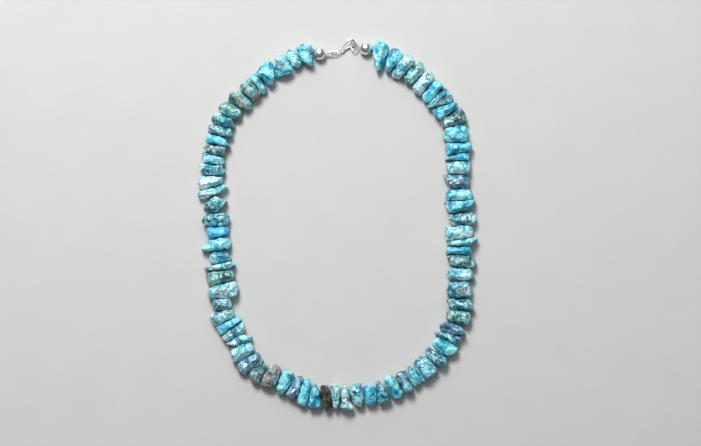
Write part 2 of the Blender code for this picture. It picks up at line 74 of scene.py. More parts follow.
THREAD_LEVEL = 0.47 * STONE_HEIGHT
THREAD_RISE = 0.016
TANGENT_STEP = 0.0006
UP = np.array([0.0, 0.0, 1.0])


def smooth_curve(knots, steps):
    """Points on a Catmull-Rom curve through the knots, with steps points to each span."""
    knots = np.asarray(knots, dtype=float)
    ends = np.vstack([2 * knots[0] - knots[1], knots, 2 * knots[-1] - knots[-2]])
    points = []
    for a, b, c, d in zip(ends, ends[1:], ends[2:], ends[3:]):
        for step in range(steps):
            f = step / steps
            points.append(0.5 * (2 * b + (c - a) * f + (2 * a - 5 * b + 4 * c - d) * f ** 2
                                 + (3 * b - a - 3 * c + d) * f ** 3))
    points.append(knots[-1])
    return np.array(points)


chosen = np.array(THREAD_ROUTE)
chosen = chosen * (np.array([LOOP_WIDTH, LOOP_HEIGHT]) / (chosen.max(axis=0) - chosen.min(axis=0)))
loop_shift = np.mean(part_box("silver_bead_left"), axis=0)[:2] - chosen[0]
route_points = smooth_curve(chosen + loop_shift, ROUTE_STEPS)
route_steps = np.linalg.norm(np.diff(route_points, axis=0), axis=1)
route_lengths = np.concatenate([[0.0], np.cumsum(route_steps)])
route_length = route_lengths[-1]


def on_route(distance):
    """The thread's place, its direction and the way out of the loop, at a distance along it."""
    def flat(at):
        return np.array([np.interp(at, route_lengths, route_points[:, k]) for k in range(2)])
    along = flat(distance + TANGENT_STEP) - flat(distance - TANGENT_STEP)
    along = along / np.linalg.norm(along)
    share = max(min(distance, route_length - distance, THREAD_RISE) / THREAD_RISE, 0.0)
    level = BEAD_DIAMETER / 2 + share * share * (3 - 2 * share) * (THREAD_LEVEL - BEAD_DIAMETER / 2)
    return np.append(flat(distance), level), np.array([*along, 0.0]), np.array([along[1], -along[0], 0.0])


# how a stone ends away from the thread: where its tip sits between the back face (-1) and the fore
# face (1), and by what share of the reach its back and fore corners fall short of the tip
STONE_ENDS = {
    "square": (0.0, 0.05, 0.05),
    "round": (0.0, 0.24, 0.24),
    "oval": (0.0, 0.40, 0.40),
    "point": (0.0, 0.60, 0.60),
    "spear": (0.0, 0.90, 0.90),
    "back": (-0.7, 0.08, 0.32),
    "fore": (0.7, 0.32, 0.08),
    "backtip": (-0.85, 0.05, 0.62),
    "foretip": (0.85, 0.62, 0.05),
}
# where a patch of matrix lies: along the thread, outwards and upwards, each from -1 to 1, and its reach
PATCHES = {
    "none": (0.0, 0.0, 0.0, 0.0),
    "outer": (0.0, 0.9, 0.2, 0.7),
    "inner": (0.0, -0.9, 0.2, 0.7),
    "middle": (0.0, 0.0, 0.8, 0.75),
    "back": (-0.9, 0.0, 0.4, 0.75),
    "fore": (0.9, 0.0, 0.4, 0.75),
    "most": (0.0, 0.0, 0.3, 1.6),
}
# one row for each stone in the order of the string: its share of the thread, the lean of its fore
# face in degrees, its reach away from the loop and its end there, then towards the loop's inside,
# and its tone and matrix patch
STONE_COLUMNS = ("thick", "lean", "outer", "outer_end", "inner", "inner_end", "tone", "patch")
STONES = [dict(zip(STONE_COLUMNS, row)) for row in [
    (1.38, 15, 0.38, "round", 0.52, "back", "sky", "none"),
    (1.10, 0, 0.44, "oval", 0.42, "oval", "sky", "none"),
    (1.60, -30, 0.40, "round", 0.46, "back", "sky", "middle"),
    (1.70, -6, 0.44, "round", 0.50, "back", "sky", "inner"),
    (0.85, -8, 0.42, "round", 0.54, "round", "sky", "none"),
    (1.30, 0, 0.44, "round", 0.50, "round", "brown", "inner"),
    (1.40, 15, 0.50, "oval", 0.54, "oval", "moss", "middle"),
    (1.35, 10, 0.46, "round", 0.48, "round", "moss", "back"),
    (1.10, 10, 0.44, "round", 0.48, "fore", "speckled", "none"),
    (1.00, 6, 0.44, "square", 0.55, "fore", "speckled", "none"),
    (1.00, 4, 0.46, "back", 0.58, "foretip", "azure", "none"),
    (0.90, -6, 0.44, "round", 0.42, "square", "brown", "inner"),
    (1.00, 0, 0.52, "back", 0.48, "round", "sky", "none"),
    (1.10, 0, 0.54, "round", 0.50, "round", "speckled", "none"),
    (1.10, 12, 0.56, "round", 0.50, "back", "pale", "none"),
    (0.85, 16, 0.61, "square", 0.62, "round", "pale", "none"),
    (1.70, 2, 0.46, "spear", 0.50, "spear", "speckled", "none"),
    (1.30, -3, 0.56, "round", 0.56, "back", "speckled", "none"),
    (1.15, 12, 0.44, "round", 0.52, "back", "blue", "none"),
    (1.25, 0, 0.74, "fore", 0.52, "round", "sky", "none"),
    (1.25, 5, 0.42, "fore", 0.48, "fore", "sky", "inner"),
    (0.60, 0, 0.70, "round", 0.68, "back", "pale", "none"),
    (1.35, 12, 0.60, "square", 0.52, "round", "moss", "outer"),
    (1.50, 2, 0.58, "round", 0.62, "round", "pale", "middle"),
    (1.05, -5, 0.40, "square", 0.36, "square", "speckled", "none"),
    (1.20, 0, 0.60, "round", 0.38, "back", "pale", "none"),
    (0.85, 10, 0.52, "square", 0.50, "square", "azure", "none"),
    (0.90, 4, 0.54, "back", 0.56, "back", "pale", "outer"),
    (0.90, -7, 0.46, "backtip", 0.58, "foretip", "pale", "none"),
    (1.30, -6, 0.56, "fore", 0.46, "round", "pale", "none"),
    (1.20, 8, 0.62, "round", 0.46, "square", "dusk", "outer"),
    (1.20, 3, 0.56, "round", 0.42, "back", "brown", "outer"),
    (1.50, 3, 0.50, "back", 0.50, "round", "brown", "most"),
    (1.30, -2, 0.54, "oval", 0.60, "oval", "sky", "none"),
    (1.05, 6, 0.46, "round", 0.54, "round", "dusk", "none"),
    (1.00, 8, 0.58, "round", 0.56, "round", "azure", "none"),
    (1.15, 14, 0.48, "square", 0.54, "point", "sky", "none"),
    (1.00, 13, 0.54, "oval", 0.56, "oval", "umber", "none"),
    (0.90, -12, 0.48, "square", 0.54, "back", "pale", "none"),
    (1.05, 16, 0.56, "round", 0.62, "back", "pale", "none"),
    (1.25, 3, 0.44, "fore", 0.54, "fore", "speckled", "none"),
    (1.30, -6, 0.42, "round", 0.44, "round", "azure", "none"),
    (1.13, 2, 0.44, "round", 0.54, "backtip", "speckled", "outer"),
    (1.25, 2, 0.44, "round", 0.58, "round", "sky", "none"),
    (1.15, -10, 0.54, "fore", 0.46, "round", "dusk", "none"),
    (0.90, -8, 0.38, "square", 0.46, "point", "sky", "none"),
    (1.85, -8, 0.50, "fore", 0.46, "round", "speckled", "none"),
    (1.25, -2, 0.54, "fore", 0.52, "round", "speckled", "inner"),
    (1.30, 4, 0.62, "round", 0.42, "round", "sky", "none"),
    (0.75, 15, 0.50, "square", 0.58, "point", "speckled", "none"),
    (1.05, 4, 0.58, "backtip", 0.50, "round", "dusk", "none"),
    (1.40, 6, 0.56, "round", 0.40, "round", "moss", "inner"),
    (1.12, 3, 0.62, "back", 0.50, "fore", "speckled", "inner"),
    (1.66, 0, 0.48, "round", 0.56, "round", "speckled", "middle"),
    (1.42, -8, 0.58, "back", 0.58, "round", "pale", "none"),
    (1.13, -2, 0.60, "round", 0.58, "fore", "brown", "none"),
    (0.90, 0, 0.48, "back", 0.58, "square", "azure", "none"),
    (0.70, 7, 0.73, "foretip", 0.56, "back", "pale", "none"),
    (1.27, 2, 0.48, "square", 0.60, "square", "pale", "none"),
    (1.32, 4, 0.62, "round", 0.54, "fore", "speckled", "inner"),
    (1.21, 0, 0.66, "foretip", 0.60, "fore", "sky", "none"),
    (1.03, 0, 0.58, "round", 0.60, "round", "sky", "outer"),
    (1.48, -7, 0.42, "square", 0.66, "foretip", "dusk", "back"),
    (1.30, -2, 0.50, "square", 0.46, "round", "pale", "none"),
    (0.75, 9, 0.44, "square", 0.58, "backtip", "sky", "none"),
    (1.10, -3, 0.56, "round", 0.50, "round", "azure", "none"),
    (1.60, -3, 0.56, "oval", 0.56, "oval", "sky", "none"),
    (1.25, 6, 0.54, "square", 0.53, "round", "brown", "inner"),
    (1.08, -20, 0.52, "fore", 0.60, "round", "sky", "inner"),
    (1.15, 1, 0.46, "square", 0.64, "point", "speckled", "none"),
    (1.14, 5, 0.52, "round", 0.52, "round", "azure", "none"),
    (1.28, 0, 0.52, "round", 0.52, "round", "pale", "none"),
    (1.25, -8, 0.70, "foretip", 0.46, "round", "moss", "none"),
    (1.28, -4, 0.52, "round", 0.58, "round", "pale", "none"),
    (1.17, 13, 0.52, "round", 0.62, "point", "sky", "outer"),
    (1.62, 22, 0.52, "round", 0.76, "spear", "sky", "none"),
]]
LEFT_COUNT = 40
# what makes up for the tumbling: fuller reaches, room for the dents at the top and a narrower slit
FILLING = 1.07
DENT_ROOM = 0.00035
NESTING = 0.0002
# how the stones differ in height, in the pitch of their faces and in the slope of their tops
HEIGHT_SPREAD = 0.10
PITCH_SPREAD = 7.0
TOP_SLOPE = 16.0
GOLDEN_SHARE = 0.618034
TURN_SHARE = 0.37
# how full the shoulders and the belly are beside a plain block, and how worn the foot is
SHOULDER_ANGLE = 48.0
SHOULDER_FULLNESS = 1.03
BELLY_FULLNESS = 1.22
FOOT_WEAR = 1.10


def spread(index, turn):
    """A value between -1 and 1 for each stone, evenly spread over the string."""
    return 2.0 * ((index * GOLDEN_SHARE + turn * TURN_SHARE) % 1.0) - 1.0


def face_lean(number):
    """The lean of the plane before a stone; the first stone's back face stands square to the thread."""
    return math.radians(STONES[number - 1]["lean"]) if number > 0 else 0.0


clear_of_bead = BEAD_DIAMETER / 2 + BEAD_CLEARANCE
string_start = clear_of_bead - STONE_GAP / 2
string_end = route_length - clear_of_bead / math.cos(face_lean(len(STONES))) + STONE_GAP / 2
thick_sums = np.concatenate([[0.0], np.cumsum([stone["thick"] for stone in STONES])])
dividers = string_start + (string_end - string_start) * thick_sums / thick_sums[-1]


def divider_plane(number):
    """A plane between two stones: a point on the thread and its normal."""
    place, along, outward = on_route(dividers[number])
    lean = face_lean(number)
    pitch = math.radians(PITCH_SPREAD) * spread(number, 1) if 0 < number < len(STONES) else 0.0
    upright = along * math.cos(lean) - outward * math.sin(lean)
    return place, upright * math.cos(pitch) - UP * math.sin(pitch)


def end_planes(reach, end, side, back, fore, along, outward):
    """The two planes that meet at a stone's tip."""
    tip_share, back_cut, fore_cut = STONE_ENDS[end]

    def face_at(face, across):
        normal, depth = face
        return (depth - across * (outward @ normal)) / (along @ normal)

    across = side * reach
    back_edge = face_at(back, across)
    fore_edge = face_at(fore, across)
    tip = (back_edge + fore_edge) / 2 + tip_share * (fore_edge - back_edge) / 2
    planes = []
    for cut, face in ((back_cut, back), (fore_cut, fore)):
        corner_across = across * (1 - cut)
        run = np.array([face_at(face, corner_across) - tip, corner_across - across])
        facing = np.array([-run[1], run[0]]) / np.linalg.norm(run)
        if facing[1] * side < 0:
            facing = -facing
        planes.append((along * facing[0] + outward * facing[1], tip * facing[0] + across * facing[1]))
    return planes


def stone_planes(index):
    """A stone's centre on the thread, its three directions, its half sizes and its planes."""
    stone = STONES[index]
    centre, along, outward = on_route((dividers[index] + dividers[index + 1]) / 2)
    back_place, back_normal = divider_plane(index)
    fore_place, fore_normal = divider_plane(index + 1)
    back = (-back_normal, (centre - back_place) @ back_normal - (STONE_GAP - NESTING) / 2)
    fore = (fore_normal, (fore_place - centre) @ fore_normal - (STONE_GAP - NESTING) / 2)
    outer = stone["outer"] * STONE_ACROSS * FILLING
    inner = stone["inner"] * STONE_ACROSS * FILLING
    planes = [back, fore]
    planes += end_planes(outer, stone["outer_end"], 1, back, fore, along, outward)
    planes += end_planes(inner, stone["inner_end"], -1, back, fore, along, outward)
    top = STONE_HEIGHT * (1 + HEIGHT_SPREAD * spread(index, 2)) - centre[2] - DENT_ROOM
    half_thick = (back[1] + fore[1]) / 2
    slope = math.radians(TOP_SLOPE)
    roof = UP + outward * math.tan(slope * spread(index, 3)) + along * math.tan(slope * spread(index, 4))
    planes.append((roof / np.linalg.norm(roof), top))
    planes.append((-UP, centre[2] * FOOT_WEAR))
    sideways = math.sin(math.radians(SHOULDER_ANGLE))
    upwards = math.cos(math.radians(SHOULDER_ANGLE))
    for way, reach in ((outward, outer), (-outward, inner), (along, half_thick), (-along, half_thick)):
        shoulder = math.hypot(reach * sideways, top * upwards) * SHOULDER_FULLNESS
        belly = math.hypot(reach * sideways, centre[2] * upwards) * BELLY_FULLNESS
        planes.append((way * sideways + UP * upwards, shoulder))
        planes.append((way * sideways - UP * upwards, belly))
    return centre, np.array([along, outward, UP]), np.array([half_thick, (outer + inner) / 2, top]), planes


# stones of two lobes: where the waist lies from the inner end (-1) to the outer one (1), and its depth
WAISTS = {1: (0.10, 0.18), 4: (-0.50, 0.16), 19: (0.15, 0.20), 40: (0.20, 0.22), 45: (0.0, 0.22),
          55: (-0.35, 0.14), 61: (0.10, 0.12), 66: (0.35, 0.10), 72: (-0.25, 0.12)}
WAIST_WIDTH = 0.26
STONE_GRID = 26
# how round the edges are worn, and how deep the chips cut: shares of the stone's reach that they leave
EDGE_WEAR = 22.0
CHIP_COUNT = 8
CHIP_SHALLOW = 0.97
CHIP_DEEP = 0.78
CHIP_SEED = 700
PATCH_EDGE = 1.2


def box_grid(steps):
    """The points of a cube's six sides with their quads, each corner and edge point made once."""
    form = bmesh.new()
    bmesh.ops.create_cube(form, size=2.0)
    bmesh.ops.subdivide_edges(form, edges=form.edges, cuts=steps - 1, use_grid_fill=True)
    form.verts.ensure_lookup_table()
    points = np.array([vertex.co for vertex in form.verts])
    quads = [[vertex.index for vertex in face.verts] for face in form.faces]
    form.free()
    return np.tan(points * math.pi / 4), quads


grid_points, grid_quads = box_grid(STONE_GRID)


def reaches(directions, planes, wear):
    """How far a stone reaches in each direction: its planes' nearest, with the edges worn round."""
    normals = np.array([normal for normal, depth in planes])
    depths = np.array([depth for normal, depth in planes])
    facing = np.maximum(directions @ normals.T, 0.0) / depths
    return (facing ** wear).sum(axis=1) ** (-1.0 / wear)


def stone_mesh(index):
    """One stone's skin, with its matrix patch as a value on each point."""
    centre, ways, halves, planes = stone_planes(index)
    chance = np.random.default_rng(CHIP_SEED + index)
    chips = chance.normal(size=(CHIP_COUNT, 3))
    chips = chips / np.linalg.norm(chips, axis=1)[:, None]
    directions = (grid_points * halves) @ ways
    directions = directions / np.linalg.norm(directions, axis=1)[:, None]
    whole = directions * reaches(directions, planes, EDGE_WEAR)[:, None]
    chip_depths = (whole @ chips.T).max(axis=0) * chance.uniform(CHIP_DEEP, CHIP_SHALLOW, CHIP_COUNT)
    worn = planes + list(zip(chips, chip_depths))
    offsets = directions * reaches(directions, worn, EDGE_WEAR)[:, None]
    if index + 1 in WAISTS:
        waist_place, waist_depth = WAISTS[index + 1]
        across = (offsets @ ways[1]) / halves[1]
        pinch = waist_depth * np.exp(-((across - waist_place) / WAIST_WIDTH) ** 2)
        offsets -= pinch[:, None] * (offsets - np.outer(offsets @ ways[1], ways[1]))
    points = centre + offsets
    points[:, 2] = np.maximum(points[:, 2], 0.0)
    mesh = bpy.data.meshes.new(f"stone_{index + 1:02d}")
    mesh.from_pydata(points.tolist(), [], grid_quads)
    *patch_middle, patch_reach = PATCHES[STONES[index]["patch"]]
    cover = np.zeros(len(points))
    if patch_reach > 0:
        far = np.linalg.norm((offsets @ ways.T) / halves - np.array(patch_middle), axis=1)
        cover = np.clip(PATCH_EDGE - far / patch_reach, 0.0, 1.0)
    mesh.attributes.new("patch", "FLOAT", "POINT").data.foreach_set("value", cover.astype(np.float32))
    mesh.shade_smooth()
    return mesh


def linear(hex_colour):
    """An sRGB hex value as linear red, green and blue, with full alpha."""
    values = [int(hex_colour[at:at + 2], 16) / 255 for at in (0, 2, 4)]
    return tuple(v / 12.92 if v < 0.04045 else ((v + 0.055) / 1.055) ** 2.4 for v in values) + (1.0,)


def fill(tree, node, inputs):
    """Sets a node's inputs, or links those whose value another node gives."""
    for socket, value in inputs.items():
        if isinstance(value, bpy.types.NodeSocket):
            tree.links.new(value, node.inputs[socket])
        else:
            node.inputs[socket].default_value = value


def add_node(tree, kind, inputs=None, give=0, stops=(), **settings):
    """Adds a node with its settings, inputs and ramp stops, and returns one of its outputs, or all."""
    made = tree.nodes.new(kind)
    for name, value in settings.items():
        setattr(made, name, value)
    fill(tree, made, inputs or {})
    if stops:
        elements = made.color_ramp.elements
        while len(elements) < len(stops):
            elements.new(0.5)
        for element, (place, colour) in zip(elements, stops):
            element.position = place
            element.color = colour
    return made.outputs if give is None else made.outputs[give]


def new_material(name):
    """A material, its node tree, and the place of each point on its piece."""
    made = bpy.data.materials.new(name)
    made.use_nodes = True
    return made, made.node_tree, add_node(made.node_tree, "ShaderNodeTexCoord", give="Object")


# each tone: light, middle and dark stone, the matrix's two browns or greys, how much of the stone its
# web covers, and how flecked it is
TONE_COLUMNS = ("light", "middle", "dark", "matrix", "matrix_light", "web", "flecks")
TONES = {
    "sky": ("A0F0F8", "34BCD6", "077396", "103844", "A4C4C8", 0.50, 0.65),
    "azure": ("84E6F6", "26AED4", "05648C", "0C3444", "90BAC6", 0.30, 0.40),
    "blue": ("5ECAEE", "1598D0", "055C90", "0C304A", "8CB0C2", 0.25, 0.35),
    "pale": ("D8FAFC", "80DCE8", "268EA6", "16383E", "D2E0DE", 0.60, 0.75),
    "moss": ("A4E0DC", "52AAAC", "195E66", "1D2D2B", "B4B0A0", 0.75, 0.90),
    "speckled": ("B8F0F6", "46B6CC", "0F5E78", "0E2026", "C8C8BE", 0.90, 1.00),
    "brown": ("AAD6D8", "568E94", "22464C", "2C221D", "BBADA1", 0.95, 0.95),
    "dusk": ("9CCCDC", "4689A8", "1A4A66", "1E2630", "ACA6B0", 0.65, 0.85),
    "umber": ("66523F", "3A2B20", "1A120D", "120D0A", "B8A794", 0.80, 1.00),
}
# the noises in the stone: whether the swirl bends them, how wide their features are, their detail and
# its roughness, and the slice of the noise that each takes
NOISES = {
    "cloud": (True, 0.0050, 4.0, 0.60, 0.0),
    "bloom": (True, 0.0016, 3.0, 0.60, 3.0),
    "web": (True, 0.0060, 2.0, 0.50, 5.0),
    "patch": (True, 0.0022, 4.0, 0.65, 7.0),
    "shade": (False, 0.0019, 3.0, 0.60, 9.0),
    "host": (True, 0.0011, 4.0, 0.70, 11.0),
    "fleck": (False, 0.0010, 2.0, 0.50, 13.0),
    "spot": (False, 0.0021, 3.0, 0.60, 15.0),
    "grain": (False, 0.0006, 3.0, 0.60, 17.0),
    "mottle": (False, 0.0013, 4.0, 0.70, 19.0),
}
# the masks made of them: the values between which each rises, the tone's column that lowers both, and
# by how much
MASKS = {
    "bloom": (0.55, 0.72, None, 0.0),
    "shade": (0.52, 0.68, None, 0.0),
    "mottle": (0.34, 0.66, None, 0.0),
    "web": (0.66, 0.76, "web", 0.24),
    "fleck": (0.69, 0.74, "flecks", 0.09),
    "spot": (0.71, 0.76, "flecks", 0.11),
}
SWIRL_SIZE = 0.004
# the veins run between cells of this size, and rise from their edge to their core as shares of it
VEIN_CELL = 0.0034
VEIN_EDGE = 0.11
VEIN_CORE = 0.03
# how far the noise frays a patch, and where on the sum of both the patch begins and is whole
PATCH_FRAY = 1.8
PATCH_BEGINS = 1.42
PATCH_WHOLE = 1.62
POLISHED_ROUGHNESS = 0.22
RUBBED_ROUGHNESS = 0.44
DULL_ROUGHNESS = 0.68
PATCH_DULLNESS = 0.6
PIT_COLOUR = "0C2A32"
PIT_DEPTH = 0.00025


def turquoise(tone):
    """Tumbled turquoise of one tone: a waxy polish over clouded blue, dull in its pits and its matrix."""
    look = dict(zip(TONE_COLUMNS, TONES[tone]))
    made, tree, place = new_material(f"turquoise_{tone}")
    swirl = add_node(tree, "ShaderNodeTexNoise", {"Vector": place, "Scale": 1 / SWIRL_SIZE, "Detail": 2.0},
                     give="Color")
    swirl = add_node(tree, "ShaderNodeVectorMath", {0: swirl, 1: (0.5, 0.5, 0.5)}, operation="SUBTRACT")
    bent = add_node(tree, "ShaderNodeVectorMath", {0: swirl, 1: (SWIRL_SIZE,) * 3, 2: place},
                    operation="MULTIPLY_ADD")
    noises = {}
    for name, (bends, size, detail, rough, slice_at) in NOISES.items():
        noises[name] = add_node(tree, "ShaderNodeTexNoise", {
            "Vector": bent if bends else place, "W": slice_at, "Scale": 1 / size, "Detail": detail,
            "Roughness": rough}, noise_dimensions="4D")
    masks = {}
    for name, (low, high, column, share) in MASKS.items():
        lowered = share * look.get(column, 0.0)
        masks[name] = add_node(tree, "ShaderNodeMapRange", {
            0: noises[name], 1: low - lowered, 2: high - lowered}, interpolation_type="SMOOTHSTEP")

    edge = add_node(tree, "ShaderNodeTexVoronoi", {"Vector": bent, "Scale": 1 / VEIN_CELL}, give="Distance",
                    feature="DISTANCE_TO_EDGE")
    line = add_node(tree, "ShaderNodeMapRange", {0: edge, 1: VEIN_EDGE, 2: VEIN_CORE},
                    interpolation_type="SMOOTHSTEP")
    veins = add_node(tree, "ShaderNodeMath", {0: line, 1: masks["web"]}, operation="MULTIPLY")
    near = add_node(tree, "ShaderNodeAttribute", give="Fac", attribute_name="patch")
    frayed = add_node(tree, "ShaderNodeMath", {0: noises["patch"], 1: PATCH_FRAY, 2: near},
                      operation="MULTIPLY_ADD")
    patch = add_node(tree, "ShaderNodeMapRange", {0: frayed, 1: PATCH_BEGINS, 2: PATCH_WHOLE},
                     interpolation_type="SMOOTHSTEP")
    pits = add_node(tree, "ShaderNodeMath", {0: masks["fleck"], 1: masks["spot"]}, operation="MAXIMUM")

    mottled = add_node(tree, "ShaderNodeValToRGB", {0: masks["mottle"]}, stops=[
        (0.0, linear("507C8A")), (0.6, linear("FFFFFF"))])
    host = add_node(tree, "ShaderNodeValToRGB", {0: noises["host"]}, stops=[
        (0.36, linear(look["matrix"])), (0.62, linear(look["matrix_light"]))])
    colour = add_node(tree, "ShaderNodeValToRGB", {0: noises["cloud"]}, stops=[
        (0.36, linear(look["dark"])), (0.44, linear(look["middle"])), (0.55, linear(look["light"]))])
    for mode, mask, share, over in (
            ("MIX", masks["bloom"], 0.70, linear(look["light"])),
            ("MIX", masks["shade"], 0.75, linear(look["dark"])),
            ("MULTIPLY", 1.0, look["flecks"], mottled),
            ("MIX", veins, 0.80, linear(look["matrix"])),
            ("MIX", patch, 0.90, host),
            ("MIX", pits, 0.90, linear(PIT_COLOUR))):
        cover = add_node(tree, "ShaderNodeMath", {0: mask, 1: share}, operation="MULTIPLY")
        colour = add_node(tree, "ShaderNodeMix", {0: cover, 6: colour, 7: over}, give=2, data_type="RGBA",
                          blend_type=mode)

    polish = add_node(tree, "ShaderNodeMapRange", {
        0: noises["host"], 3: POLISHED_ROUGHNESS, 4: RUBBED_ROUGHNESS})
    dull = add_node(tree, "ShaderNodeMath", {0: patch, 1: PATCH_DULLNESS}, operation="MULTIPLY")
    dull = add_node(tree, "ShaderNodeMath", {0: pits, 1: dull}, operation="MAXIMUM")
    roughness = add_node(tree, "ShaderNodeMapRange", {0: dull, 3: polish, 4: DULL_ROUGHNESS})
    height = 0.0
    for relief, depth in ((pits, -1.0), (veins, -0.5), (noises["grain"], 0.6)):
        height = add_node(tree, "ShaderNodeMath", {0: relief, 1: depth, 2: height},
                          operation="MULTIPLY_ADD")
    bump = add_node(tree, "ShaderNodeBump", {"Strength": 0.6, "Distance": PIT_DEPTH, "Height": height})
    fill(tree, tree.nodes["Principled BSDF"], {
        "Base Color": colour, "Roughness": roughness, "Normal": bump, "IOR": 1.61, "Coat Weight": 0.25,
        "Coat Roughness": 0.16})
    return made


def new_tree(name, inputs):
    """A geometry node tree with a socket of its own for each size, and what its inputs give."""
    tree = bpy.data.node_groups.new(name, "GeometryNodeTree")
    tree.interface.new_socket("Geometry", in_out="INPUT", socket_type="NodeSocketGeometry")
    for title, kind, value in inputs:
        socket = tree.interface.new_socket(title, in_out="INPUT", socket_type=f"NodeSocket{kind}")
        if value is not None:
            socket.default_value = value
    tree.interface.new_socket("Geometry", in_out="OUTPUT", socket_type="NodeSocketGeometry")
    return tree, add_node(tree, "NodeGroupInput", give=None)


def end_tree(tree, shape, finish):
    """Ends a tree in a real mesh that wears its material."""
    real = add_node(tree, "GeometryNodeRealizeInstances", {0: shape})
    dressed = add_node(tree, "GeometryNodeSetMaterial", {"Geometry": real, "Material": finish})
    add_node(tree, "NodeGroupOutput", {0: dressed}, give=None)
    return tree


def tumbled_tree():
    """Broad dents and small scallops over a stone's skin, with its foot kept flat on the surface."""
    tree, given = new_tree("tumbled_surface", (
        ("Dent Size", "Float", 0.0034), ("Dent Depth", "Float", 0.0017), ("Scallop Size", "Float", 0.0030),
        ("Scallop Depth", "Float", 0.0005), ("Seed", "Float", 0.0), ("Stone", "Material", None)))
    place = add_node(tree, "GeometryNodeInputPosition")
    scale = add_node(tree, "ShaderNodeMath", {0: 1.0, 1: given["Dent Size"]}, operation="DIVIDE")
    dents = add_node(tree, "ShaderNodeTexNoise", {
        "Vector": place, "W": given["Seed"], "Scale": scale, "Detail": 1.5}, noise_dimensions="4D")
    scale = add_node(tree, "ShaderNodeMath", {0: 1.0, 1: given["Scallop Size"]}, operation="DIVIDE")
    scallops = add_node(tree, "ShaderNodeTexVoronoi", {
        "Vector": place, "W": given["Seed"], "Scale": scale, "Smoothness": 0.3}, give="Distance",
        voronoi_dimensions="4D", feature="SMOOTH_F1")
    lift = 0.0
    for relief, middle, depth in ((dents, 0.5, "Dent Depth"), (scallops, 0.55, "Scallop Depth")):
        level = add_node(tree, "ShaderNodeMath", {0: relief, 1: middle}, operation="SUBTRACT")
        lift = add_node(tree, "ShaderNodeMath", {0: level, 1: given[depth], 2: lift},
                        operation="MULTIPLY_ADD")
    normal = add_node(tree, "GeometryNodeInputNormal")
    offset = add_node(tree, "ShaderNodeVectorMath", {0: normal, "Scale": lift}, operation="SCALE")
    dented = add_node(tree, "GeometryNodeSetPosition", {"Geometry": given["Geometry"], "Offset": offset})
    # the first two limits lie far outside the loop, and the third is the surface
    above = add_node(tree, "ShaderNodeVectorMath", {0: place, 1: (-1.0, -1.0, 0.0)}, operation="MAXIMUM")
    footed = add_node(tree, "GeometryNodeSetPosition", {"Geometry": dented, "Position": above})
    return end_tree(tree, footed, given["Stone"])


def realised(source, name):
    """The plain mesh object of what a source object's modifiers make; the source is removed."""
    bpy.context.view_layer.update()
    graph = bpy.context.evaluated_depsgraph_get()
    made = source.evaluated_get(graph)
    mesh = bpy.data.meshes.new_from_object(made, preserve_all_data_layers=True, depsgraph=graph)
    bpy.data.objects.remove(source, do_unlink=True)
    mesh.name = name
    piece = bpy.data.objects.new(name, mesh)
    bpy.context.scene.collection.objects.link(piece)
    return piece


def grown(name, data, tree, inputs):
    """The piece that a node tree makes of a mesh or a curve, with its named inputs set."""
    source = bpy.data.objects.new("blank", data)
    bpy.context.scene.collection.objects.link(source)
    maker = source.modifiers.new(tree.name, "NODES")
    maker.node_group = tree
    for item in tree.interface.items_tree:
        if item.in_out == "INPUT" and item.name in inputs:
            maker[item.identifier] = inputs[item.name]
    return realised(source, name)


tones = {tone: turquoise(tone) for tone in TONES}
tumbled = tumbled_tree()
for index, stone in enumerate(STONES):
    piece = grown(f"stone_{index + 1:02d}", stone_mesh(index), tumbled,
                  {"Seed": float(index), "Stone": tones[stone["tone"]]})
    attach(piece, "root")
    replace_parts(piece, "nugget_string_left" if index < LEFT_COUNT else "nugget_string_right")


# Thread
# Beading thread of three twisted polyester plies, waxed and dark from wear. It runs through every stone
# and ends in the silver beads, and it shows only in the slits.
THREAD_DIAMETER = 0.0010
THREAD_PLIES = 3
THREAD_TWIST = 0.0026
THREAD_IN_BEAD = BEAD_DIAMETER * 0.25
THREAD_STOP = 0.001
PLY_RADIUS = THREAD_DIAMETER / 4
FIBRE_SIZE = 0.00025


def waxed_thread():
    """Dyed polyester thread with a little wax: dark, slightly glossy and finely ribbed along its plies."""
    made, tree, place = new_material("waxed_thread")
    fibres = add_node(tree, "ShaderNodeTexNoise", {
        "Vector": place, "Scale": 1 / FIBRE_SIZE, "Detail": 3.0, "Roughness": 0.6}, noise_dimensions="4D")
    colour = add_node(tree, "ShaderNodeValToRGB", {0: fibres}, stops=[
        (0.3, linear("1B2326")), (0.7, linear("3C484B"))])
    bump = add_node(tree, "ShaderNodeBump", {"Strength": 0.5, "Distance": 0.00005, "Height": fibres})
    fill(tree, tree.nodes["Principled BSDF"], {"Base Color": colour, "Normal": bump, "Roughness": 0.55})
    return made


